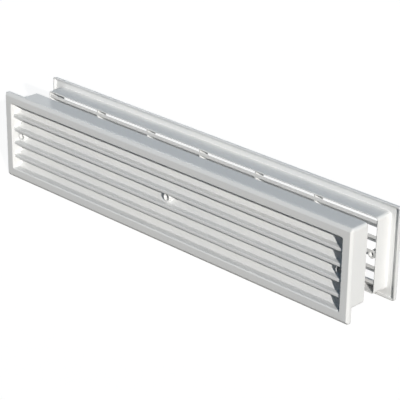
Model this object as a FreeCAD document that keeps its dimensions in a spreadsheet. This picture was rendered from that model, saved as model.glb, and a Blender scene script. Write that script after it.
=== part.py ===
import FreeCAD, Part
import math
import os

import Sketcher

# Telescopic door vent grille, in millimetres. +X runs along the grille, +Y goes into the door, +Z is up.
# The origin is the centre of the door cut-out on the door's outer face, where the front flange rests.
# Each half is drawn in a frame of its own: depth zero is its door-side seat, and its louvred face looks
# towards -Y. The rear half is the same drawing turned half a turn about Z.

DRIVING_SIZES = [
    ("thinnest_door", 30.0, "door leaf that the closed halves still clamp"),
    ("collar_length", 437.0, "front collar, outside, along X"),
    ("collar_height", 77.0, "front collar, outside, along Z"),
    ("collar_depth", 27.8, "front collar, beyond the flange's seat"),
    ("collar_wall", 1.2, "wall of both collars"),
    ("collar_corner", 3.0, "outer radius of the collars' corners"),
    ("collar_root", 1.0, "fillet between collar and plate"),
    ("rear_collar_depth", 15.1, "rear collar, beyond its flange's seat"),
    ("side_clearance", 1.1, "between the collars at each end"),
    ("top_clearance", 0.3, "between the collars above and below"),
    ("flange_cover_ends", 9.0, "flange, beyond the front collar at each end"),
    ("flange_cover_sides", 7.0, "flange, beyond the front collar above and below"),
    ("flange_depth", 5.0, "flange, from the door to its outer face"),
    ("flange_corner", 2.6, "radius of the flange's corners, seen from the front"),
    ("flange_round", 1.5, "rounding of the flange's outer edge"),
    ("lip_width", 1.6, "lip of the flange that lies on the door"),
    ("plate_thickness", 2.2, "front plate of the flange"),
    ("bevel_land", 0.8, "of the plate's thickness that the bevel leaves upright"),
    ("opening_corner", 1.5, "radius of the opening's corners"),
    ("rail_height", 1.0, "from the rear collar's inside to the opening, above and below"),
    ("gap_count", 5, "air gaps between sill and head"),
    ("slat_angle", 40.0, "slope of the slats in degrees"),
    ("slat_thickness", 2.5, "across the slope"),
    ("slat_recess", 0.7, "inner end of the slats, inside the rear collar's rim"),
    ("nose_gap", 0.1, "from the back of the plate to the front of a slat"),
    ("nose_height", 2.9, "upright front of a slat"),
    ("nose_round", 0.6, "upper edge of that front"),
    ("ledge_depth", 5.4, "level top of a slat's front"),
    ("rib_thickness", 1.6, "upright ribs behind the slats"),
    ("rib_count", 5, "ribs, evenly spread along the slats"),
    ("rib_depth", 6.0, "ribs, from the inner end of the slats"),
    ("boss_inset", 8.0, "from a collar's end to the axis of an end screw"),
    ("boss_diameter", 8.0, "screw bosses"),
    ("boss_front", 5.0, "outer end of the bosses, from the outer face"),
    ("seat_depth", 9.0, "sunk seat for a screw head"),
    ("seat_clearance", 0.3, "round a screw head"),
    ("hole_clearance", 0.45, "round a screw in the front half"),
    ("thread_clearance", 0.1, "round a screw in the rear half"),
    ("bore_floor", 1.2, "closed end of a rear boss"),
    ("lead_in", 0.9, "widening at the mouth of a rear bore"),
    ("lead_in_depth", 2.0, "depth of that widening"),
    ("screw_diameter", 2.9, "self-tapping screw, over its thread"),
    ("tip_clearance", 0.8, "from the screw's tip to the closed end of its bore, at the thinnest door"),
    ("screw_point", 2.6, "length of the screw's tapered point"),
    ("point_diameter", 0.8, "blunt end of that point"),
    ("head_diameter", 5.6, "pan head"),
    ("head_height", 2.2, "pan head"),
    ("head_rim", 1.0, "upright rim of the pan head"),
    ("head_crown", 3.6, "flat top of the pan head"),
    ("recess_span", 3.0, "cross recess, from arm to arm"),
    ("recess_slot", 0.8, "width of a recess arm"),
    ("recess_depth", 1.3, "cross recess"),
    ("open_gap", 16.5, "between the collars as the two halves stand apart"),
]

# Sizes that follow from the driving ones. Names without a sheet in front are cells of this same sheet.
WORKED_SIZES = [
    ("flange_length", "=Sizes.collar_length + 2 * Sizes.flange_cover_ends"),
    ("flange_height", "=Sizes.collar_height + 2 * Sizes.flange_cover_sides"),
    ("rear_length", "=Sizes.collar_length - 2 * Sizes.collar_wall - 2 * Sizes.side_clearance"),
    ("rear_height", "=Sizes.collar_height - 2 * Sizes.collar_wall - 2 * Sizes.top_clearance"),
    ("plate_back", "=Sizes.plate_thickness - Sizes.flange_depth"),
    ("outer_face", "=-Sizes.flange_depth"),
    ("opening_bevel", "=Sizes.plate_thickness - Sizes.bevel_land"),
    ("opening_half", "=rear_height / 2 - Sizes.collar_wall - Sizes.rail_height"),
    ("slat_pitch", "=(2 * opening_half + Sizes.nose_height) / Sizes.gap_count"),
    ("slope", "=tan(Sizes.slat_angle * 1 deg)"),
    ("slat_upright", "=Sizes.slat_thickness / cos(Sizes.slat_angle * 1 deg)"),
    ("slat_start", "=plate_back + Sizes.nose_gap"),
    ("slope_start", "=slat_start + Sizes.ledge_depth"),
    ("slat_stop", "=Sizes.rear_collar_depth - Sizes.slat_recess"),
    ("slope_rise", "=slope * (slat_stop - slope_start)"),
    ("under_start", "=slope_start + (slat_upright - Sizes.nose_height) / slope"),
    ("highest_slat", "=opening_half - slat_pitch"),
    ("boss_spacing", "=Sizes.collar_length / 2 - Sizes.boss_inset"),
    ("boss_start", "=outer_face + Sizes.boss_front"),
    ("boss_length", "=slat_stop - boss_start"),
    ("bore_diameter", "=Sizes.screw_diameter + 2 * Sizes.thread_clearance"),
    ("screw_start", "=boss_start + Sizes.seat_depth"),
    ("bore_end", "=Sizes.thinnest_door - boss_start - Sizes.bore_floor"),
    ("screw_length", "=bore_end - Sizes.tip_clearance - screw_start"),
    ("halves_apart", "=Sizes.collar_depth + Sizes.open_gap + Sizes.rear_collar_depth"),
]

# How a sketch's constraints name its axes, its origin and the points of an edge.
ACROSS_AXIS, UP_AXIS = range(-1, -3, -1)
START, END, CENTRE = range(1, 4)
ORIGIN_POINT = (ACROSS_AXIS, START)
QUARTER_TURN = math.pi / 2
NEAR = 1e-4

# The screws by name, and where each stands along the grille.
SCREW_PLACES = {
    "screw_left": "-Worked.boss_spacing",
    "screw_centre": "0",
    "screw_right": "Worked.boss_spacing",
}


def fill_sheet(doc, name, rows):
    sheet = doc.addObject("Spreadsheet::Sheet", name)
    for row, cells in enumerate(rows, start=1):
        alias, content = cells[0], cells[1]
        sheet.set(f"A{row}", alias)
        sheet.set(f"B{row}", str(content))
        sheet.setAlias(f"B{row}", alias)
        if len(cells) > 2:
            sheet.set(f"C{row}", cells[2])
    doc.recompute()
    return sheet


def number(body, expression):
    """The present value of an expression, to draw a sketch where its constraints will hold it."""
    return float(body.evalExpression(expression))


def datum(body, role):
    return next(item for item in body.Origin.OriginFeatures if item.Role == role)


def new_sketch(body, name, role, offset="0"):
    """A sketch on one of the body's own planes, moved along that plane's normal."""
    sketch = body.newObject("Sketcher::SketchObject", name)
    sketch.AttachmentSupport = [(datum(body, role), "")]
    sketch.MapMode = "FlatFace"
    sketch.setExpression("AttachmentOffset.Base.z", offset)
    return sketch


def upright_sketch(body, name, depth):
    """A sketch facing the viewer at a depth along +Y. Its plane's normal looks towards -Y."""
    return new_sketch(body, name, "XZ_Plane", f"-({depth})")


def bind(sketch, constraint, expression):
    index = sketch.addConstraint(constraint)
    sketch.setExpression(f"Constraints[{index}]", expression)


def hold_point(sketch, body, edge, end, across, up):
    """Pin one end of an edge by two expressions; a bare 0 puts it on the axis."""
    if up == "0":
        sketch.addConstraint(Sketcher.Constraint("PointOnObject", edge, end, ACROSS_AXIS))
    else:
        height = number(body, up)
        bind(sketch, Sketcher.Constraint("DistanceY", *ORIGIN_POINT, edge, end, height), up)
    if across == "0":
        sketch.addConstraint(Sketcher.Constraint("PointOnObject", edge, end, UP_AXIS))
    else:
        distance = number(body, across)
        bind(sketch, Sketcher.Constraint("DistanceX", *ORIGIN_POINT, edge, end, distance), across)


def draw_polygon(sketch, body, corners):
    """A closed anticlockwise outline of corners (across, up). A corner may name a radius as its third item, if
    the edge before it is level and the one after it upright."""
    rounded = [index for index, corner in enumerate(corners) if len(corner) > 2]
    round_corner = rounded[0] if rounded else None
    points = [FreeCAD.Vector(number(body, c[0]), number(body, c[1]), 0) for c in corners]
    first = sketch.GeometryCount
    starts = list(points)
    ends = points[1:] + points[:1]
    if rounded:
        radius = corners[round_corner][2]
        size = number(body, radius)
        corner = points[round_corner]
        level = round_corner - 1
        upright = round_corner
        ends[level] = corner + (starts[level] - corner).normalize() * size
        starts[upright] = corner + (ends[upright] - corner).normalize() * size
        centre = ends[level] + starts[upright] - corner
    for start, end in zip(starts, ends):
        sketch.addGeometry(Part.LineSegment(start, end), False)
    for index, corner_sizes in enumerate(corners):
        if index not in rounded:
            previous = first + (index - 1) % len(corners)
            hold_point(sketch, body, first + index, START, *corner_sizes)
            sketch.addConstraint(Sketcher.Constraint("Coincident", previous, END, first + index, START))
    if rounded:
        from_angle = math.atan2(ends[level].y - centre.y, ends[level].x - centre.x)
        circle = Part.Circle(centre, FreeCAD.Vector(0, 0, 1), size)
        arc = sketch.addGeometry(Part.ArcOfCircle(circle, from_angle, from_angle + QUARTER_TURN), False)
        sketch.addConstraint(Sketcher.Constraint("Horizontal", first + level))
        sketch.addConstraint(Sketcher.Constraint("Vertical", first + upright))
        sketch.addConstraint(Sketcher.Constraint("Tangent", first + level, END, arc, START))
        sketch.addConstraint(Sketcher.Constraint("Tangent", arc, END, first + upright, START))
        bind(sketch, Sketcher.Constraint("Radius", arc, size), radius)


def draw_rounded_rectangle(sketch, body, half_width, half_height, corner_radius):
    """A rectangle with four equal round corners, centred on the sketch's origin."""
    wide = number(body, half_width)
    high = number(body, half_height)
    radius = number(body, corner_radius)
    flat = wide - radius
    tall = high - radius
    lines = [
        ((-flat, -high), (flat, -high)),
        ((wide, -tall), (wide, tall)),
        ((flat, high), (-flat, high)),
        ((-wide, tall), (-wide, -tall)),
    ]
    centres = [(flat, -tall), (flat, tall), (-flat, tall), (-flat, -tall)]
    first = sketch.GeometryCount
    for start, end in lines:
        sketch.addGeometry(Part.LineSegment(FreeCAD.Vector(*start, 0), FreeCAD.Vector(*end, 0)), False)
    for index, centre in enumerate(centres):
        circle = Part.Circle(FreeCAD.Vector(*centre, 0), FreeCAD.Vector(0, 0, 1), radius)
        arc = Part.ArcOfCircle(circle, (index - 1) * QUARTER_TURN, index * QUARTER_TURN)
        sketch.addGeometry(arc, False)
    for index in range(4):
        line = first + index
        arc = first + 4 + index
        next_line = first + (index + 1) % 4
        sketch.addConstraint(Sketcher.Constraint("Tangent", line, END, arc, START))
        sketch.addConstraint(Sketcher.Constraint("Tangent", arc, END, next_line, START))
        sketch.addConstraint(Sketcher.Constraint("Vertical" if index % 2 else "Horizontal", line))
    for arc in range(first + 5, first + 8):
        sketch.addConstraint(Sketcher.Constraint("Equal", first + 4, arc))
    sketch.addConstraint(Sketcher.Constraint("Symmetric", first, START, first + 2, START, *ORIGIN_POINT))
    bind(sketch, Sketcher.Constraint("Radius", first + 4, radius), corner_radius)
    bind(sketch, Sketcher.Constraint("DistanceX", *ORIGIN_POINT, first + 1, START, wide), half_width)
    bind(sketch, Sketcher.Constraint("DistanceY", *ORIGIN_POINT, first + 2, START, high), half_height)


def draw_circle(sketch, body, across, diameter):
    """A circle on the sketch's level axis."""
    centre = FreeCAD.Vector(number(body, across), 0, 0)
    radius = number(body, diameter) / 2
    circle = sketch.addGeometry(Part.Circle(centre, FreeCAD.Vector(0, 0, 1), radius), False)
    hold_point(sketch, body, circle, CENTRE, across, "0")
    bind(sketch, Sketcher.Constraint("Diameter", circle, 2 * radius), diameter)


def solid_volume(body):
    body.Document.recompute()
    return body.Shape.Volume


def add_pad(body, name, sketch, length, both_ways=False):
    """Pad a sketch towards +Y, or to both sides of its plane."""
    pad = body.newObject("PartDesign::Pad", name)
    pad.Profile = sketch
    pad.setExpression("Length", length)
    if both_ways:
        pad.SideType = "Symmetric"
    else:
        pad.Reversed = True
    body.Document.recompute()
    return pad


def add_pocket(body, name, sketch, depth, towards_face=False):
    """Cut a sketch towards +Y, or back towards the outer face, and make sure that it did cut."""
    before = solid_volume(body)
    pocket = body.newObject("PartDesign::Pocket", name)
    pocket.Profile = sketch
    pocket.setExpression("Length", depth)
    pocket.Reversed = towards_face
    if solid_volume(body) >= before:
        raise RuntimeError(f"{name} cut nothing")
    return pocket


def add_row(body, name, feature, axis, reach, count, reverse=False):
    """Repeat a feature along one of the body's axes over a total reach."""
    before = solid_volume(body)
    row = body.newObject("PartDesign::LinearPattern", name)
    row.Originals = [feature]
    row.Direction = (datum(body, axis), [""])
    row.Reversed = reverse
    row.setExpression("Length", reach)
    row.setExpression("Occurrences", count)
    body.Tip = row
    if solid_volume(body) <= before:
        raise RuntimeError(f"{name} added nothing")
    return row


def edges_where(shape, wanted):
    """Names of the edges whose middle point passes a test."""
    names = []
    for index, edge in enumerate(shape.Edges, start=1):
        middle = edge.valueAt((edge.FirstParameter + edge.LastParameter) / 2)
        if wanted(middle):
            names.append(f"Edge{index}")
    return names


def dress(body, kind, name, wanted, size):
    """Fillet or chamfer the body's edges that pass a test."""
    body.Document.recompute()
    base = body.Tip
    feature = body.newObject(f"PartDesign::{kind}", name)
    feature.Base = (base, edges_where(base.Shape, wanted))
    feature.setExpression("Radius" if kind == "Fillet" else "Size", size)
    body.Document.recompute()
    return feature


def add_flange(body):
    """The flange: a plate with a lip that lies on the door, open towards the door like a shallow tray."""
    outline = upright_sketch(body, "flange_outline", "Worked.outer_face")
    draw_rounded_rectangle(
        outline, body, "Worked.flange_length / 2", "Worked.flange_height / 2", "Sizes.flange_corner"
    )
    add_pad(body, "flange", outline, "Sizes.flange_depth")
    face = number(body, "Worked.outer_face")
    dress(body, "Fillet", "flange_rounding", lambda p: abs(p.y - face) < NEAR, "Sizes.flange_round")
    tray = upright_sketch(body, "tray_outline", "0")
    draw_rounded_rectangle(
        tray,
        body,
        "Worked.flange_length / 2 - Sizes.lip_width",
        "Worked.flange_height / 2 - Sizes.lip_width",
        "Sizes.flange_corner - Sizes.lip_width",
    )
    add_pocket(body, "tray", tray, "-Worked.plate_back", towards_face=True)


def within(body, half_width, half_height, depth):
    """A test for points at one depth, inside or on a rectangle about the Y axis."""
    wide = number(body, half_width) + NEAR
    high = number(body, half_height) + NEAR
    level = number(body, depth)
    return lambda p: abs(p.x) < wide and abs(p.z) < high and abs(p.y - level) < NEAR


def add_collar(body, length, height, depth):
    """The thin collar that goes into the door, with a fillet where it leaves the plate."""
    half_length = f"{length} / 2"
    half_height = f"{height} / 2"
    reach = f"{depth} - Worked.plate_back"
    outside = upright_sketch(body, "collar_outside", "Worked.plate_back")
    draw_rounded_rectangle(outside, body, half_length, half_height, "Sizes.collar_corner")
    add_pad(body, "collar", outside, reach)
    at_root = within(body, half_length, half_height, "Worked.plate_back")
    dress(body, "Fillet", "collar_root_fillet", at_root, "Sizes.collar_root")
    inside = upright_sketch(body, "collar_inside", "Worked.plate_back")
    draw_rounded_rectangle(
        inside,
        body,
        f"{half_length} - Sizes.collar_wall",
        f"{half_height} - Sizes.collar_wall",
        "Sizes.collar_corner - Sizes.collar_wall",
    )
    add_pocket(body, "collar_hollow", inside, reach)


def add_opening(body, length):
    """The opening in the plate, as wide as the collar is inside, with a bevel towards the viewer."""
    half_width = f"{length} / 2 - Sizes.collar_wall"
    opening = upright_sketch(body, "opening_outline", "Worked.outer_face")
    draw_rounded_rectangle(opening, body, half_width, "Worked.opening_half", "Sizes.opening_corner")
    add_pocket(body, "opening", opening, "Sizes.plate_thickness")
    at_mouth = within(body, half_width, "Worked.opening_half", "Worked.outer_face")
    dress(body, "Chamfer", "opening_bevel", at_mouth, "Worked.opening_bevel")


def add_louvres(body, length, height):
    """Slats that slope down towards the outside, with a sill and a head shaped like parts of a slat."""
    span = f"{length} - Sizes.collar_wall"
    wall_middle = f"({height} / 2 - Sizes.collar_wall / 2)"
    lip = "Worked.highest_slat"
    slat = new_sketch(body, "slat_profile", "YZ_Plane")
    corners = [
        ("Worked.slat_start", lip),
        ("Worked.under_start", lip),
        ("Worked.slat_stop", f"{lip} + Sizes.nose_height + Worked.slope_rise - Worked.slat_upright"),
        ("Worked.slat_stop", f"{lip} + Sizes.nose_height + Worked.slope_rise"),
        ("Worked.slope_start", f"{lip} + Sizes.nose_height"),
        ("Worked.slat_start", f"{lip} + Sizes.nose_height", "Sizes.nose_round"),
    ]
    draw_polygon(slat, body, corners)
    top_slat = add_pad(body, "top_slat", slat, span, both_ways=True)
    full_slats = "Sizes.gap_count - 1"
    reach = f"({full_slats} - 1) * Worked.slat_pitch"
    add_row(body, "slats", top_slat, "Z_Axis", reach, full_slats, reverse=True)

    sill = new_sketch(body, "sill_profile", "YZ_Plane")
    sill_end = "-Worked.opening_half + Worked.slope_rise"
    sill_foot = f"(Sizes.nose_height + Worked.opening_half - {wall_middle}) / Worked.slope"
    corners = [
        ("Worked.plate_back", "-Worked.opening_half"),
        ("Worked.slope_start", "-Worked.opening_half"),
        ("Worked.slat_stop", sill_end),
        ("Worked.slat_stop", f"{sill_end} - Worked.slat_upright"),
        (f"Worked.under_start + {sill_foot}", f"-{wall_middle}"),
        ("Worked.plate_back", f"-{wall_middle}"),
    ]
    draw_polygon(sill, body, corners)
    add_pad(body, "sill", sill, span, both_ways=True)

    head = new_sketch(body, "head_profile", "YZ_Plane")
    head_end = f"Worked.under_start + ({wall_middle} - Worked.opening_half) / Worked.slope"
    corners = [
        ("Worked.plate_back", "Worked.opening_half"),
        ("Worked.under_start", "Worked.opening_half"),
        (head_end, wall_middle),
        ("Worked.plate_back", wall_middle),
    ]
    draw_polygon(head, body, corners)
    add_pad(body, "head", head, span, both_ways=True)


def add_ribs(body, length, height):
    """Thin upright ribs across the back of the slats, with equal fields between them and the collar's ends."""
    pitch = f"({length} - 2 * Sizes.collar_wall) / (Sizes.rib_count + 1)"
    reach = f"(Sizes.rib_count - 1) * {pitch}"
    wall_middle = f"({height} / 2 - Sizes.collar_wall / 2)"
    profile = new_sketch(body, "rib_profile", "YZ_Plane", f"-{reach} / 2")
    rib_start = "Worked.slat_stop - Sizes.rib_depth"
    corners = [
        (rib_start, f"-{wall_middle}"),
        ("Worked.slat_stop", f"-{wall_middle}"),
        ("Worked.slat_stop", wall_middle),
        (rib_start, wall_middle),
    ]
    draw_polygon(profile, body, corners)
    first_rib = add_pad(body, "first_rib", profile, "Sizes.rib_thickness", both_ways=True)
    add_row(body, "ribs", first_rib, "X_Axis", reach, "Sizes.rib_count")


def add_bosses(body):
    """A round boss for each screw, from the front of the slats to their inner ends."""
    outlines = upright_sketch(body, "boss_outlines", "Worked.boss_start")
    for across in SCREW_PLACES.values():
        draw_circle(outlines, body, across, "Sizes.boss_diameter")
    add_pad(body, "bosses", outlines, "Worked.boss_length")


def add_bores(body, sketch, towards_face, narrow, wide, wide_depth, depth):
    """A stepped bore in each boss."""
    for across in SCREW_PLACES.values():
        draw_circle(sketch, body, across, narrow)
    before = solid_volume(body)
    bores = body.newObject("PartDesign::Hole", "bores")
    bores.Profile = sketch
    bores.Reversed = towards_face
    bores.ThreadType = "None"
    bores.DrillPoint = "Flat"
    bores.setExpression("Diameter", narrow)
    bores.HoleCutType = "Counterbore"
    bores.HoleCutCustomValues = True
    bores.setExpression("HoleCutDiameter", wide)
    bores.setExpression("HoleCutDepth", wide_depth)
    bores.DepthType = "Dimension"
    bores.setExpression("Depth", depth)
    if solid_volume(body) >= before:
        raise RuntimeError("the bores cut nothing")


def add_half(doc, name, length, height, depth):
    """What both halves share: flange, collar, louvres, ribs and bosses."""
    body = doc.addObject("PartDesign::Body", name)
    body.Label = name
    doc.recompute()
    add_flange(body)
    add_collar(body, length, height, depth)
    add_opening(body, length)
    add_louvres(body, length, height)
    add_ribs(body, length, height)
    add_bosses(body)
    return body


def front_grille(doc):
    body = add_half(
        doc, "front_grille", "Sizes.collar_length", "Sizes.collar_height", "Sizes.collar_depth"
    )
    sketch = upright_sketch(body, "bore_centres", "Worked.boss_start")
    add_bores(
        body,
        sketch,
        towards_face=False,
        narrow="Sizes.screw_diameter + 2 * Sizes.hole_clearance",
        wide="Sizes.head_diameter + 2 * Sizes.seat_clearance",
        wide_depth="Sizes.seat_depth",
        depth="Worked.boss_length",
    )
    return body


def rear_grille(doc):
    body = add_half(doc, "rear_grille", "Worked.rear_length", "Worked.rear_height", "Sizes.rear_collar_depth")
    sketch = upright_sketch(body, "bore_centres", "Worked.slat_stop")
    add_bores(
        body,
        sketch,
        towards_face=True,
        narrow="Worked.bore_diameter",
        wide="Worked.bore_diameter + 2 * Sizes.lead_in",
        wide_depth="Sizes.lead_in_depth",
        depth="Worked.boss_length - Sizes.bore_floor",
    )
    body.Placement.Rotation = FreeCAD.Rotation(FreeCAD.Vector(0, 0, 1), 180)
    body.setExpression("Placement.Base.y", "Worked.halves_apart")
    return body


def screw(doc, name, across):
    """A pan-head screw along +Y, seated in the front half. Its own frame starts under the head."""
    body = doc.addObject("PartDesign::Body", name)
    body.Label = name
    doc.recompute()
    profile = new_sketch(body, "turned_profile", "YZ_Plane")
    crown = "-Sizes.head_height"
    rim = "-Sizes.head_rim"
    corners = [
        (crown, "0"),
        (crown, "Sizes.head_crown / 2"),
        (rim, "Sizes.head_diameter / 2"),
        ("0", "Sizes.head_diameter / 2"),
        ("0", "Sizes.screw_diameter / 2"),
        ("Worked.screw_length - Sizes.screw_point", "Sizes.screw_diameter / 2"),
        ("Worked.screw_length", "Sizes.point_diameter / 2"),
        ("Worked.screw_length", "0"),
    ]
    draw_polygon(profile, body, corners)
    turned = body.newObject("PartDesign::Revolution", "turned")
    turned.Profile = profile
    turned.ReferenceAxis = (datum(body, "Y_Axis"), [""])
    turned.Angle = 360
    cross = upright_sketch(body, "cross_outline", crown)
    arm = "Sizes.recess_span / 2"
    slot = "Sizes.recess_slot / 2"
    corners = [
        (arm, f"-{slot}"),
        (arm, slot),
        (slot, slot),
        (slot, arm),
        (f"-{slot}", arm),
        (f"-{slot}", slot),
        (f"-{arm}", slot),
        (f"-{arm}", f"-{slot}"),
        (f"-{slot}", f"-{slot}"),
        (f"-{slot}", f"-{arm}"),
        (slot, f"-{arm}"),
        (slot, f"-{slot}"),
    ]
    draw_polygon(cross, body, corners)
    add_pocket(body, "cross_recess", cross, "Sizes.recess_depth")
    body.setExpression("Placement.Base.x", across)
    body.setExpression("Placement.Base.y", "Worked.screw_start")
    return body


def check(doc, bodies):
    for item in doc.Objects:
        if "Invalid" in item.State or "Error" in item.State:
            raise RuntimeError(f"{item.Label} failed: {item.State}")
    for body in bodies:
        shape = body.Shape
        if shape.isNull() or not shape.isValid() or len(shape.Solids) != 1:
            raise RuntimeError(f"{body.Label} is not one valid solid")


doc = FreeCAD.newDocument("door_vent_grille")
fill_sheet(doc, "Sizes", DRIVING_SIZES)
fill_sheet(doc, "Worked", WORKED_SIZES)
pieces = [front_grille(doc), rear_grille(doc)]
pieces += [screw(doc, name, across) for name, across in SCREW_PLACES.items()]
doc.recompute()
check(doc, pieces)
os.makedirs("parts", exist_ok=True)
for piece in pieces:
    piece.Shape.exportStep(f"parts/{piece.Label}.step")
    box = piece.Shape.BoundBox
    print(
        piece.Label,
        f"volume {piece.Shape.Volume:.0f}",
        f"x {box.XMin:.2f}..{box.XMax:.2f}",
        f"y {box.YMin:.2f}..{box.YMax:.2f}",
        f"z {box.ZMin:.2f}..{box.ZMax:.2f}",
    )
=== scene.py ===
import math

import bmesh
import bpy
from mathutils import Euler, Matrix, Vector


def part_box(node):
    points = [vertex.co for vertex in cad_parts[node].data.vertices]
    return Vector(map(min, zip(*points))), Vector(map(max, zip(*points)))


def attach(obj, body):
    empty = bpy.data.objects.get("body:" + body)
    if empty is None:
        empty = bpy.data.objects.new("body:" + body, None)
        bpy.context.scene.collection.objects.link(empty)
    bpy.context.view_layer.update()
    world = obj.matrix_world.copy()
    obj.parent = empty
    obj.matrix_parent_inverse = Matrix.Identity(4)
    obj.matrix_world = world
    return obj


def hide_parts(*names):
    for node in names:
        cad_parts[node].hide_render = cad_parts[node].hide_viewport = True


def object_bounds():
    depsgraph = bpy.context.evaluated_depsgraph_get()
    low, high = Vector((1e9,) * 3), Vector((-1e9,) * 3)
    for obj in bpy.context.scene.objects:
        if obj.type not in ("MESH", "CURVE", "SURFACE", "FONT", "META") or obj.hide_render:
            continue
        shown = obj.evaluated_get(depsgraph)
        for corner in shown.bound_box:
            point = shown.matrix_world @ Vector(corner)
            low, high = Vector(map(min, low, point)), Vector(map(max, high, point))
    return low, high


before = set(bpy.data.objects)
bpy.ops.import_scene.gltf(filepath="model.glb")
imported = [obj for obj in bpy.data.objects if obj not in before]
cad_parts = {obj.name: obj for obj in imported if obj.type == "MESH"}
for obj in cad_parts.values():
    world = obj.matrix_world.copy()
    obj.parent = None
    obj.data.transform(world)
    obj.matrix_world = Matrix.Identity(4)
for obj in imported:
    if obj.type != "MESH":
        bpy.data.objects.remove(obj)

# A telescopic door vent grille: two white plastic housings and three screws. Lengths are in metres, in the
# part's frame: +X along the grille, +Y into the door, +Z up, y = 0 on the door's outer face.
CAD_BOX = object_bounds()
MM = 0.001

# Housings. Each is drawn in a frame of its own: its seat on the door is at depth 0, its louvred face at
# a negative depth. The rear one is turned about Z and moved to its place.
FRONT_LOW, FRONT_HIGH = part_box("front_grille")
REAR_LOW, REAR_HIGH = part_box("rear_grille")
FLANGE_HALF = Vector((FRONT_HIGH.x, FRONT_HIGH.z))
FACE = FRONT_LOW.y
FLANGE_CORNER = 2.6 * MM
FLANGE_BEVEL = Vector((1.9, 3.1)) * MM
FLANGE_BEVEL_DEPTH = 2.2 * MM
FLANGE_BEVEL_EASE = 0.08
LIP = 1.6 * MM
PLATE = 2.2 * MM
PLATE_BACK = FACE + PLATE
FLANGE_COVER = Vector((9.0, 7.0)) * MM
COLLAR_WALL = 1.2 * MM
COLLAR_CORNER = 3.0 * MM
COLLAR_ROOT = 0.4 * MM
COLLAR_CLEARANCE = Vector((1.1, 0.3)) * MM
FRONT_COLLAR_HALF = FLANGE_HALF - FLANGE_COVER
REAR_COLLAR_HALF = FRONT_COLLAR_HALF - Vector((COLLAR_WALL, COLLAR_WALL)) - COLLAR_CLEARANCE
FRONT_COLLAR_DEPTH = FRONT_HIGH.y
REAR_SEAT = REAR_HIGH.y + FACE
REAR_COLLAR_DEPTH = REAR_SEAT - REAR_LOW.y

# Edges are eased by SOFT_EDGE. A joined shape stops STEP_IN short of a face it would lie flush with, and a
# cutter runs CUT_BEYOND past the face it cuts.
SOFT_EDGE = 0.25 * MM
STEP_IN = 0.05 * MM
CUT_BEYOND = 1.0 * MM

# Louvres. Depths of ribs are measured from the slats' inner ends.
RAIL_HEIGHT = 1.0 * MM
OPENING_HALF = REAR_COLLAR_HALF.y - COLLAR_WALL - RAIL_HEIGHT
OPENING_CORNER = 1.5 * MM
OPENING_BEVEL = 1.0 * MM
GAP_COUNT = 5
NOSE_HEIGHT = 2.9 * MM
NOSE_ROUND = 0.6 * MM
NOSE_START = PLATE_BACK + 0.1 * MM
FRONT_LEDGE = 5.4 * MM
REAR_LEDGE = 4.8 * MM
LEDGE_FILLET = 2.0 * MM
SLAT_ANGLE = math.radians(40)
SLAT_THICKNESS = 2.5 * MM
SLAT_STOP = REAR_COLLAR_DEPTH - 0.7 * MM
SLAT_PITCH = (2 * OPENING_HALF + NOSE_HEIGHT) / GAP_COUNT
RIB_COUNT = 5
RIB_THICKNESS = 1.6 * MM
FRONT_RIB_DEPTH = 6.0 * MM
REAR_RIB_DEPTH = 10.5 * MM

# Screw bosses and screws.
BOSS_RADIUS = 4.0 * MM
FRONT_BOSS_START = 1.3 * MM
REAR_BOSS_START = 0.0
BOSS_PROUD = 0.1 * MM
BOSS_SPACING = FRONT_COLLAR_HALF.x - 8.0 * MM
BOSS_COUNT = 3
SEAT_LEVEL = 9.0 * MM
SEAT_RADIUS = 3.1 * MM
FRONT_HOLE_RADIUS = 1.9 * MM
REAR_BORE_RADIUS = 1.55 * MM
REAR_LEAD_RADIUS = 2.45 * MM
LEAD_DEPTH = 2.0 * MM
BORE_END = 1.2 * MM
SCREW_RADIUS = 1.45 * MM
SCREW_CORE = 1.02 * MM
SCREW_LENGTH = 19.0 * MM
SCREW_POINT = 2.6 * MM
SCREW_TIP_SHARE = 0.28
THREAD_PITCH = 1.1 * MM
THREAD_START = 1.0 * MM
THREAD_VALLEY_SHARE = 0.55
HEAD_RADIUS = 2.8 * MM
HEAD_FLAT_SHARE = 0.55
HEAD_HEIGHT = 2.2 * MM
HEAD_RIM = 0.9 * MM
RECESS_ARM = 1.5 * MM
RECESS_SLOT = 0.42 * MM
RECESS_DEPTH = 1.3 * MM
RECESS_TAPER = 0.6
SCREW_OVERLAP = 0.4 * MM

# Fineness of round shapes, the angle above which an edge stays sharp, and how near points merge.
CORNER_STEPS = 8
ROUND_STEPS = 6
TURN_STEPS = 40
STEPS_PER_PITCH = 10
CREASE_ANGLE = math.radians(28)
MERGE = 0.001 * MM

# Camera, found from the corners of the flanges in the photograph.
CAMERA_PLACE = (0.99546, -0.97255, 0.62272)
CAMERA_TURN = (65.8251, -0.6731, 44.6327)
CAMERA_LENS = 147.051

# Light. Strengths are such that a colour renders about as it is written.
SUN_FROM = (0.80, -0.49, 0.365)
SUN_STRENGTH = 3.72
SUN_ANGLE = 0.6
SUN_COLOUR = (1.0, 0.97, 0.925)
SKY_TOP = (0.012, 0.070, 0.130)
SKY_LOW = (0.0, 0.014, 0.034)
BACK_FROM = (-0.72, 0.69, 0.035)
BACK_STRENGTH = 1.8
BACK_ANGLE = 5.0
BACK_COLOUR = (1.0, 0.985, 0.96)
FLOOR_SHADE = (0.09, 0.085, 0.075)
FLOOR_GLOW = 0.94
FLOOR_LIT = 0.14
FLOOR_SIZE = 6.0

WHITE = (1.0, 1.0, 1.0)


def rgba(colour):
    return (*colour, 1.0)


def link_object(name, mesh):
    item = bpy.data.objects.new(name, mesh)
    bpy.context.scene.collection.objects.link(item)
    return item


def drop(item):
    mesh = item.data
    bpy.data.objects.remove(item)
    if mesh is not None and mesh.users == 0:
        bpy.data.meshes.remove(mesh)


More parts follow.
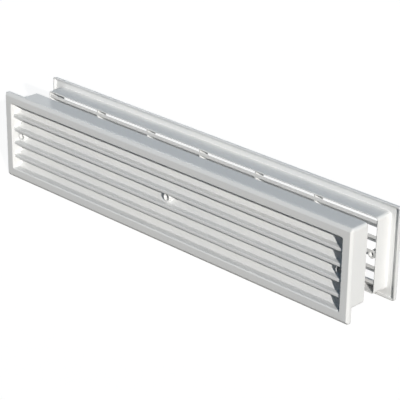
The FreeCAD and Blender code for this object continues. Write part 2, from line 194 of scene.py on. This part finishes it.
def clean(mesh):
    """Merge points that coincide, take out faces without area and turn the normals outward."""
    shape = bmesh.new()
    shape.from_mesh(mesh)
    bmesh.ops.remove_doubles(shape, verts=shape.verts, dist=MERGE)
    bmesh.ops.dissolve_degenerate(shape, edges=shape.edges, dist=MERGE)
    bmesh.ops.recalc_face_normals(shape, faces=shape.faces)
    shape.to_mesh(mesh)
    shape.free()


def solid(name, points, faces):
    """An object from points and faces, with its normals outward and its poles merged."""
    mesh = bpy.data.meshes.new(name)
    mesh.from_pydata(points, [], faces)
    clean(mesh)
    return link_object(name, mesh)


def ring(half, radius, depth):
    """A rounded rectangle about the Y axis at one depth, anticlockwise as seen from the louvred face."""
    points = []
    for turn, (side, up) in enumerate([(1, 1), (-1, 1), (-1, -1), (1, -1)]):
        for step in range(CORNER_STEPS + 1):
            angle = math.pi / 2 * (turn + step / CORNER_STEPS)
            x = side * (half.x - radius) + radius * math.cos(angle)
            z = up * (half.y - radius) + radius * math.sin(angle)
            points.append((x, depth, z))
    return points


def inset(half, by):
    return Vector((half.x - by, half.y - by))


def loft(name, rings):
    """A closed skin through rings of equal length, the last one joined to the first."""
    around = len(rings[0])
    points = [point for loop in rings for point in loop]
    faces = []
    for row in range(len(rings)):
        here = row * around
        there = (row + 1) % len(rings) * around
        for step in range(around):
            ahead = (step + 1) % around
            faces.append((here + step, here + ahead, there + ahead, there + step))
    return solid(name, points, faces)


def quarter(steps=ROUND_STEPS):
    """(sine, one minus cosine) along a quarter turn."""
    angles = [math.pi / 2 * step / steps for step in range(steps + 1)]
    return [(math.sin(angle), 1 - math.cos(angle)) for angle in angles]


def bar(name, outline, start, end):
    """A bar along X with an outline of (depth, height) points."""
    count = len(outline)
    points = [(x, y, z) for x in (start, end) for y, z in outline]
    faces = [(i, (i + 1) % count, count + (i + 1) % count, count + i) for i in range(count)]
    faces += [tuple(range(count)), tuple(range(count, 2 * count))]
    return solid(name, points, faces)


def turned(name, profile, place=(0, 0)):
    """A solid of revolution about a line along Y. The profile is (depth, radius) and ends on the line."""
    points = []
    for depth, radius in profile:
        for step in range(TURN_STEPS):
            angle = 2 * math.pi * step / TURN_STEPS
            points.append((place[0] + radius * math.cos(angle), depth, place[1] + radius * math.sin(angle)))
    faces = []
    for row in range(len(profile) - 1):
        here = row * TURN_STEPS
        for step in range(TURN_STEPS):
            ahead = (step + 1) % TURN_STEPS
            faces.append((here + step, here + ahead, here + TURN_STEPS + ahead, here + TURN_STEPS + step))
    return solid(name, points, faces)


def copies_tree():
    """Geometry nodes that repeat a shape along a line: Count copies, each a Step further."""
    tree = bpy.data.node_groups.new("copies_in_a_row", "GeometryNodeTree")
    face = tree.interface
    face.new_socket("Geometry", in_out="INPUT", socket_type="NodeSocketGeometry")
    face.new_socket("Count", in_out="INPUT", socket_type="NodeSocketInt")
    face.new_socket("Step", in_out="INPUT", socket_type="NodeSocketVector")
    face.new_socket("Material", in_out="INPUT", socket_type="NodeSocketMaterial")
    face.new_socket("Geometry", in_out="OUTPUT", socket_type="NodeSocketGeometry")
    nodes, links = tree.nodes, tree.links
    given = nodes.new("NodeGroupInput")
    line = nodes.new("GeometryNodeMeshLine")
    line.mode = "OFFSET"
    links.new(given.outputs["Count"], line.inputs["Count"])
    links.new(given.outputs["Step"], line.inputs["Offset"])
    copies = nodes.new("GeometryNodeInstanceOnPoints")
    links.new(line.outputs["Mesh"], copies.inputs["Points"])
    links.new(given.outputs["Geometry"], copies.inputs["Instance"])
    real = nodes.new("GeometryNodeRealizeInstances")
    links.new(copies.outputs["Instances"], real.inputs["Geometry"])
    painted = nodes.new("GeometryNodeSetMaterial")
    links.new(real.outputs["Geometry"], painted.inputs["Geometry"])
    links.new(given.outputs["Material"], painted.inputs["Material"])
    result = nodes.new("NodeGroupOutput")
    links.new(painted.outputs["Geometry"], result.inputs["Geometry"])
    return tree


def evaluated_mesh(item):
    view = bpy.context.evaluated_depsgraph_get()
    return bpy.data.meshes.new_from_object(item.evaluated_get(view))


def repeat(first, count, step, material):
    """Replace a shape by a row of copies of it, as one plain mesh."""
    sockets = {
        item.name: item.identifier
        for item in COPIES.interface.items_tree
        if item.item_type == "SOCKET" and item.in_out == "INPUT"
    }
    row = first.modifiers.new("copies", "NODES")
    row.node_group = COPIES
    row[sockets["Count"]] = count
    row[sockets["Step"]] = step
    row[sockets["Material"]] = material
    mesh = evaluated_mesh(first)
    first.modifiers.remove(row)
    made = link_object(first.name + "_row", mesh)
    drop(first)
    return made


def combine(base, other, operation):
    """Join another closed shape to the base, or cut it out, by an exact boolean."""
    step = base.modifiers.new("combine", "BOOLEAN")
    step.operation = operation
    step.solver = "EXACT"
    step.object = other
    mesh = evaluated_mesh(base)
    base.modifiers.remove(step)
    old = base.data
    base.data = mesh
    bpy.data.meshes.remove(old)
    drop(other)


def flange_bevel():
    """(inset, depth) of the bevel's rings, from the flat face out, with both of its edges eased."""
    ease = FLANGE_BEVEL_EASE
    return [
        (FLANGE_BEVEL + Vector((SOFT_EDGE, SOFT_EDGE)), 0.0),
        (FLANGE_BEVEL * (1 - ease), FLANGE_BEVEL_DEPTH * ease),
        (FLANGE_BEVEL * ease, FLANGE_BEVEL_DEPTH * (1 - ease)),
        (Vector((0, 0)), FLANGE_BEVEL_DEPTH + SOFT_EDGE),
    ]


def housing_skin(name, collar_half, collar_depth):
    """Flange, tray, collar and the bevelled opening as one closed skin."""
    opening = Vector((collar_half.x - COLLAR_WALL - STEP_IN, OPENING_HALF))
    rings = [ring(inset(opening, -OPENING_BEVEL), OPENING_CORNER + OPENING_BEVEL, FACE)]
    for by, back in flange_bevel():
        rings.append(ring(FLANGE_HALF - by, max(FLANGE_CORNER - by.y, SOFT_EDGE), FACE + back))
    rings.append(ring(FLANGE_HALF, FLANGE_CORNER, -SOFT_EDGE))
    rings.append(ring(inset(FLANGE_HALF, SOFT_EDGE), FLANGE_CORNER - SOFT_EDGE, 0.0))
    tray = inset(FLANGE_HALF, LIP)
    rings.append(ring(inset(tray, -SOFT_EDGE), FLANGE_CORNER - LIP + SOFT_EDGE, 0.0))
    rings.append(ring(tray, FLANGE_CORNER - LIP, -SOFT_EDGE))
    rings.append(ring(tray, FLANGE_CORNER - LIP, PLATE_BACK))
    for out, back in quarter():
        by = COLLAR_ROOT * (1 - out)
        rings.append(ring(inset(collar_half, -by), COLLAR_CORNER + by, PLATE_BACK + COLLAR_ROOT * back))
    rings.append(ring(collar_half, COLLAR_CORNER, collar_depth - SOFT_EDGE))
    rings.append(ring(inset(collar_half, SOFT_EDGE), COLLAR_CORNER - SOFT_EDGE, collar_depth))
    inside = inset(collar_half, COLLAR_WALL)
    inner_corner = COLLAR_CORNER - COLLAR_WALL
    rings.append(ring(inset(inside, -SOFT_EDGE), inner_corner + SOFT_EDGE, collar_depth))
    rings.append(ring(inside, inner_corner, collar_depth - SOFT_EDGE))
    rings.append(ring(inside, inner_corner, PLATE_BACK))
    rings.append(ring(opening, OPENING_CORNER, PLATE_BACK))
    rings.append(ring(opening, OPENING_CORNER, FACE + OPENING_BEVEL))
    return loft(name, rings)


def slope_points(sill, ledge):
    """Upper edge of a slat whose ledge is at a height: level ledge, small hollow, then the slope."""
    start = NOSE_START + ledge
    reach = LEDGE_FILLET * math.tan(SLAT_ANGLE / 2)
    points = []
    for step in range(ROUND_STEPS + 1):
        angle = SLAT_ANGLE * step / ROUND_STEPS
        y = start - reach + LEDGE_FILLET * math.sin(angle)
        z = sill + LEDGE_FILLET * (1 - math.cos(angle))
        points.append((y, z))
    points.append((SLAT_STOP, sill + (SLAT_STOP - start) * math.tan(SLAT_ANGLE)))
    return points


def slat_outline(lip, ledge):
    """A slat's profile with its front's lower edge at a height, listed from that edge up and inward."""
    rise = (SLAT_STOP - NOSE_START - ledge) * math.tan(SLAT_ANGLE)
    upright = SLAT_THICKNESS / math.cos(SLAT_ANGLE)
    under_start = NOSE_START + ledge + (upright - NOSE_HEIGHT) / math.tan(SLAT_ANGLE)
    top = lip + NOSE_HEIGHT
    nose = [(NOSE_START + NOSE_ROUND * back, top - NOSE_ROUND * (1 - out)) for out, back in quarter()]
    under = [(SLAT_STOP, top + rise - upright), (under_start, lip)]
    foot = [(NOSE_START + SOFT_EDGE, lip), (NOSE_START, lip + SOFT_EDGE)]
    return nose + slope_points(top, ledge) + under + foot


def rails(collar_half, ledge):
    """Sill and head of the opening, shaped like the lower and upper part of a slat."""
    wall = collar_half.y - COLLAR_WALL / 2
    upright = SLAT_THICKNESS / math.cos(SLAT_ANGLE)
    under_start = NOSE_START + ledge + (upright - NOSE_HEIGHT) / math.tan(SLAT_ANGLE)
    end = collar_half.x - COLLAR_WALL / 2
    slope = slope_points(-OPENING_HALF, ledge)
    foot = under_start + (NOSE_HEIGHT + OPENING_HALF - wall) / math.tan(SLAT_ANGLE)
    plate = PLATE_BACK - STEP_IN
    below = [(SLAT_STOP, slope[-1][1] - upright), (foot, -wall), (plate, -wall), (plate, -OPENING_HALF)]
    sill = bar("sill", slope + below, -end, end)
    head_end = under_start + (wall - OPENING_HALF) / math.tan(SLAT_ANGLE)
    outline = [(plate, OPENING_HALF), (under_start, OPENING_HALF), (head_end, wall), (plate, wall)]
    return sill, bar("head", outline, -end, end)


def louvres(housing, collar_half, ledge, rib_depth, material):
    """Slats, sill, head and upright ribs, joined to the housing."""
    end = collar_half.x - COLLAR_WALL / 2
    lowest = -OPENING_HALF - NOSE_HEIGHT + SLAT_PITCH
    slat = bar("slat", slat_outline(lowest, ledge), -end, end)
    combine(housing, repeat(slat, GAP_COUNT - 1, (0, 0, SLAT_PITCH), material), "UNION")
    for rail in rails(collar_half, ledge):
        combine(housing, rail, "UNION")
    pitch = 2 * (collar_half.x - COLLAR_WALL) / (RIB_COUNT + 1)
    first = -pitch * (RIB_COUNT - 1) / 2 - RIB_THICKNESS / 2
    wall = collar_half.y - COLLAR_WALL / 2
    front, back = SLAT_STOP - rib_depth, SLAT_STOP - STEP_IN
    outline = [(front, -wall), (back, -wall), (back, wall), (front, wall)]
    rib = bar("rib", outline, first, first + RIB_THICKNESS)
    combine(housing, repeat(rib, RIB_COUNT, (pitch, 0, 0), material), "UNION")


def bosses(housing, start, bore, material):
    """Round bosses joined to the housing, each with its bore cut out."""
    stop = SLAT_STOP + BOSS_PROUD
    mouth = BOSS_RADIUS - SOFT_EDGE
    profile = [
        (start, 0), (start, mouth), (start + SOFT_EDGE, BOSS_RADIUS),
        (stop - SOFT_EDGE, BOSS_RADIUS), (stop, mouth), (stop, 0),
    ]
    step = (BOSS_SPACING, 0, 0)
    boss = turned("boss", profile, (-BOSS_SPACING, 0))
    combine(housing, repeat(boss, BOSS_COUNT, step, material), "UNION")
    cutter = turned("bore", bore, (-BOSS_SPACING, 0))
    combine(housing, repeat(cutter, BOSS_COUNT, step, material), "DIFFERENCE")


def finish_piece(piece, material, body, slot_name, *nodes):
    """Smooth shading with kept creases, one material, and the piece's place in the frame."""
    mesh = piece.data
    clean(mesh)
    mesh.materials.clear()
    mesh.materials.append(material)
    for face in mesh.polygons:
        face.material_index = 0
        face.use_smooth = True
    mesh.set_sharp_from_angle(angle=CREASE_ANGLE)
    flats = piece.modifiers.new("flat_faces_stay_flat", "WEIGHTED_NORMAL")
    flats.keep_sharp = True
    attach(piece, body)
    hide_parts(*nodes)


def front_housing(material):
    """The front half, whose bosses have sunk seats and through holes for the screws."""
    housing = housing_skin("front_housing", FRONT_COLLAR_HALF, FRONT_COLLAR_DEPTH)
    louvres(housing, FRONT_COLLAR_HALF, FRONT_LEDGE, FRONT_RIB_DEPTH, material)
    start = FRONT_BOSS_START
    bore = [
        (start - CUT_BEYOND, 0), (start - CUT_BEYOND, SEAT_RADIUS + SOFT_EDGE),
        (start, SEAT_RADIUS + SOFT_EDGE), (start + SOFT_EDGE, SEAT_RADIUS),
        (SEAT_LEVEL, SEAT_RADIUS), (SEAT_LEVEL, FRONT_HOLE_RADIUS),
        (SLAT_STOP + CUT_BEYOND, FRONT_HOLE_RADIUS), (SLAT_STOP + CUT_BEYOND, 0),
    ]
    bosses(housing, start, bore, material)
    finish_piece(housing, material, "front_half", "white_plastic", "front_grille")


def rear_housing(material):
    """The rear half, turned to face the front one, with blind bores for the screws."""
    housing = housing_skin("rear_housing", REAR_COLLAR_HALF, REAR_COLLAR_DEPTH)
    louvres(housing, REAR_COLLAR_HALF, REAR_LEDGE, REAR_RIB_DEPTH, material)
    bore = [
        (BORE_END, 0), (BORE_END, REAR_BORE_RADIUS),
        (SLAT_STOP - LEAD_DEPTH, REAR_BORE_RADIUS), (SLAT_STOP - LEAD_DEPTH, REAR_LEAD_RADIUS),
        (SLAT_STOP + CUT_BEYOND, REAR_LEAD_RADIUS), (SLAT_STOP + CUT_BEYOND, 0),
    ]
    bosses(housing, REAR_BOSS_START, bore, material)
    half_turn = Matrix.Rotation(math.pi, 4, "Z")
    housing.data.transform(Matrix.Translation((0, REAR_SEAT, 0)) @ half_turn)
    finish_piece(housing, material, "rear_half", "white_plastic", "rear_grille")


def threaded_shank(under_head):
    """Core, thread and point of a screw along +Y, its radius a formula of depth and angle."""
    rows = round(SCREW_LENGTH / THREAD_PITCH * STEPS_PER_PITCH)
    points, faces = [], []
    for row in range(rows + 1):
        depth = SCREW_LENGTH * row / rows
        to_tip = (SCREW_LENGTH - depth) / SCREW_POINT
        taper = min(1.0, SCREW_TIP_SHARE + (1 - SCREW_TIP_SHARE) * to_tip)
        fade = min(1.0, max(0.0, (depth - THREAD_START) / THREAD_PITCH)) * min(1.0, to_tip)
        for step in range(TURN_STEPS):
            turn = step / TURN_STEPS
            wave = abs((depth / THREAD_PITCH - turn) % 1.0 - 0.5) * 2
            ridge = max(0.0, (wave - THREAD_VALLEY_SHARE) / (1 - THREAD_VALLEY_SHARE))
            radius = taper * SCREW_CORE + fade * ridge * (SCREW_RADIUS - SCREW_CORE)
            angle = 2 * math.pi * turn
            points.append((radius * math.cos(angle), under_head + depth, radius * math.sin(angle)))
    for row in range(rows):
        here = row * TURN_STEPS
        for step in range(TURN_STEPS):
            ahead = (step + 1) % TURN_STEPS
            faces.append((here + step, here + ahead, here + TURN_STEPS + ahead, here + TURN_STEPS + step))
    faces.append(tuple(range(TURN_STEPS)))
    faces.append(tuple(range(rows * TURN_STEPS, (rows + 1) * TURN_STEPS)))
    return solid("shank", points, faces)


def screws(material):
    """Three pan-head screws with a cross recess, made once and repeated along the grille."""
    under_head = SEAT_LEVEL
    top = under_head - HEAD_HEIGHT
    rim = under_head - HEAD_RIM
    profile = [(top, 0)]
    for out, back in quarter():
        share = HEAD_FLAT_SHARE + (1 - HEAD_FLAT_SHARE) * out
        profile.append((top + (rim - top) * back, HEAD_RADIUS * share))
    profile += [(under_head, HEAD_RADIUS), (under_head, SCREW_CORE), (under_head + SCREW_OVERLAP, 0)]
    screw = turned("screw", profile)
    for turn in (0, 1):
        half = Vector((RECESS_ARM, RECESS_SLOT)) if turn == 0 else Vector((RECESS_SLOT, RECESS_ARM))
        above, floor, narrow = top - SCREW_OVERLAP, top + RECESS_DEPTH, half.y * RECESS_TAPER
        outline = [(above, -half.y), (above, half.y), (floor, narrow), (floor, -narrow)]
        combine(screw, bar("recess", outline, -half.x, half.x), "DIFFERENCE")
    combine(screw, threaded_shank(under_head), "UNION")
    screw.data.transform(Matrix.Translation((-BOSS_SPACING, 0, 0)))
    row = repeat(screw, BOSS_COUNT, (BOSS_SPACING, 0, 0), material)
    row.name = "front_screws"
    finish_piece(row, material, "front_half", "plated_steel", "screw_left", "screw_centre", "screw_right")


def new_tree(material):
    material.use_nodes = True
    nodes = material.node_tree.nodes
    nodes.clear()
    return nodes, material.node_tree.links


def noise(nodes, links, place, scale, detail):
    """Noise on the object's own coordinates."""
    node = nodes.new("ShaderNodeTexNoise")
    node.inputs["Scale"].default_value = scale
    node.inputs["Detail"].default_value = detail
    links.new(place.outputs["Object"], node.inputs["Vector"])
    return node.outputs["Fac"]


def add_tint(nodes, links, skin, pattern, low, high):
    """Colour from a pattern. Low and high are each a position on the ramp and a colour."""
    ramp = nodes.new("ShaderNodeValToRGB")
    for stop, (position, colour) in zip(ramp.color_ramp.elements, (low, high)):
        stop.position = position
        stop.color = rgba(colour)
    links.new(pattern, ramp.inputs["Fac"])
    links.new(ramp.outputs["Color"], skin.inputs["Base Color"])


def add_gloss(nodes, links, skin, pattern, low, high):
    """Roughness that a pattern moves between two values."""
    spread = nodes.new("ShaderNodeMapRange")
    spread.inputs["To Min"].default_value = low
    spread.inputs["To Max"].default_value = high
    links.new(pattern, spread.inputs["Value"])
    links.new(spread.outputs["Result"], skin.inputs["Roughness"])


def add_relief(nodes, links, skin, pattern, strength, height):
    """Fine bumps from a pattern."""
    bump = nodes.new("ShaderNodeBump")
    bump.inputs["Strength"].default_value = strength
    bump.inputs["Distance"].default_value = height
    links.new(pattern, bump.inputs["Height"])
    links.new(bump.outputs["Normal"], skin.inputs["Normal"])


def new_finish(name):
    """A material with a surface shader that is shown, and the object's own coordinates."""
    material = bpy.data.materials.new(name)
    nodes, links = new_tree(material)
    skin = nodes.new("ShaderNodeBsdfPrincipled")
    out = nodes.new("ShaderNodeOutputMaterial")
    links.new(skin.outputs["BSDF"], out.inputs["Surface"])
    return material, nodes, links, skin, nodes.new("ShaderNodeTexCoord")


def white_plastic():
    """Moulded plastic: a fine grain, slight unevenness of gloss and tint, and a soft sheen."""
    material, nodes, links, skin, place = new_finish("white_plastic")
    skin.inputs["Specular IOR Level"].default_value = 0.3
    cloud = noise(nodes, links, place, scale=14.0, detail=4.0)
    grain = noise(nodes, links, place, scale=1600.0, detail=3.0)
    cool, warm = (0.795, 0.805, 0.81), (0.825, 0.83, 0.825)
    add_tint(nodes, links, skin, cloud, (0.3, cool), (0.7, warm))
    add_gloss(nodes, links, skin, cloud, low=0.48, high=0.62)
    add_relief(nodes, links, skin, grain, strength=0.25, height=0.03 * MM)
    return material


def plated_steel():
    """Zinc-plated steel: bright, with a cloudy plating that is uneven in tint, gloss and height."""
    material, nodes, links, skin, place = new_finish("plated_steel")
    skin.inputs["Metallic"].default_value = 1.0
    cloud = noise(nodes, links, place, scale=900.0, detail=5.0)
    dull, bright = (0.62, 0.63, 0.64), (0.80, 0.79, 0.77)
    add_tint(nodes, links, skin, cloud, (0.0, dull), (1.0, bright))
    add_gloss(nodes, links, skin, cloud, low=0.22, high=0.45)
    add_relief(nodes, links, skin, cloud, strength=0.3, height=0.02 * MM)
    return material


def make_camera():
    """The camera from which the photograph was taken."""
    data = bpy.data.cameras.new("camera")
    data.sensor_width = 36.0
    data.lens = CAMERA_LENS
    data.clip_start = 0.05
    data.clip_end = 20.0
    camera = bpy.data.objects.new("camera", data)
    camera.location = CAMERA_PLACE
    camera.rotation_euler = Euler([math.radians(angle) for angle in CAMERA_TURN], "XYZ")
    bpy.context.scene.collection.objects.link(camera)
    bpy.context.scene.camera = camera


def make_light(name, direction, strength, angle, colour):
    """A distant lamp that shines from a direction, soft by its angle in degrees."""
    data = bpy.data.lights.new(name, "SUN")
    data.energy = strength
    data.angle = math.radians(angle)
    data.color = colour
    lamp = bpy.data.objects.new(name, data)
    lamp.rotation_euler = Vector(direction).to_track_quat("Z", "Y").to_euler()
    bpy.context.scene.collection.objects.link(lamp)


def seen_directly(nodes, links):
    """One for what the camera, a reflection or glass sees, nought for the light on the object."""
    path = nodes.new("ShaderNodeLightPath")
    seen = path.outputs["Is Camera Ray"]
    for also in ("Is Glossy Ray", "Is Transmission Ray"):
        either = nodes.new("ShaderNodeMath")
        either.operation = "MAXIMUM"
        links.new(seen, either.inputs[0])
        links.new(path.outputs[also], either.inputs[1])
        seen = either.outputs[0]
    return seen


def make_world():
    """A dim sky that lights the object from above, and plain white where it is seen."""
    world = bpy.data.worlds.new("studio")
    bpy.context.scene.world = world
    nodes, links = new_tree(world)
    place = nodes.new("ShaderNodeTexCoord")
    split = nodes.new("ShaderNodeSeparateXYZ")
    links.new(place.outputs["Generated"], split.inputs[0])
    ramp = nodes.new("ShaderNodeValToRGB")
    ramp.color_ramp.interpolation = "EASE"
    ramp.color_ramp.elements[0].color = rgba(SKY_LOW)
    ramp.color_ramp.elements[1].color = rgba(SKY_TOP)
    links.new(split.outputs["Z"], ramp.inputs[0])
    sky = nodes.new("ShaderNodeBackground")
    links.new(ramp.outputs[0], sky.inputs["Color"])
    white = nodes.new("ShaderNodeBackground")
    white.inputs["Color"].default_value = rgba(WHITE)
    mix = nodes.new("ShaderNodeMixShader")
    links.new(seen_directly(nodes, links), mix.inputs[0])
    links.new(sky.outputs[0], mix.inputs[1])
    links.new(white.outputs[0], mix.inputs[2])
    out = nodes.new("ShaderNodeOutputWorld")
    links.new(mix.outputs[0], out.inputs["Surface"])


def make_floor():
    """A pale floor under the object. The camera sees it nearly white, with the object's shadow."""
    low = CAD_BOX[0].z
    size = FLOOR_SIZE
    mesh = bpy.data.meshes.new("floor")
    corners = [(-size, -size, low), (size, -size, low), (size, size, low), (-size, size, low)]
    mesh.from_pydata(corners, [], [(0, 1, 2, 3)])
    floor = link_object("floor", mesh)
    material = bpy.data.materials.new("pale_floor")
    nodes, links = new_tree(material)
    matt = nodes.new("ShaderNodeBsdfDiffuse")
    matt.inputs["Color"].default_value = rgba(FLOOR_SHADE)
    lit = nodes.new("ShaderNodeBsdfDiffuse")
    lit.inputs["Color"].default_value = rgba([FLOOR_LIT] * 3)
    glow = nodes.new("ShaderNodeEmission")
    glow.inputs["Color"].default_value = rgba(WHITE)
    glow.inputs["Strength"].default_value = FLOOR_GLOW
    shown = nodes.new("ShaderNodeAddShader")
    links.new(lit.outputs[0], shown.inputs[0])
    links.new(glow.outputs[0], shown.inputs[1])
    mix = nodes.new("ShaderNodeMixShader")
    links.new(seen_directly(nodes, links), mix.inputs[0])
    links.new(matt.outputs[0], mix.inputs[1])
    links.new(shown.outputs[0], mix.inputs[2])
    out = nodes.new("ShaderNodeOutputMaterial")
    links.new(mix.outputs[0], out.inputs["Surface"])
    mesh.materials.append(material)


bpy.context.scene.view_settings.view_transform = "Standard"
make_camera()
make_light("key", SUN_FROM, SUN_STRENGTH, SUN_ANGLE, SUN_COLOUR)
make_light("back_fill", BACK_FROM, BACK_STRENGTH, BACK_ANGLE, BACK_COLOUR)
make_world()
make_floor()
COPIES = copies_tree()
plastic = white_plastic()
front_housing(plastic)
rear_housing(plastic)
screws(plated_steel())
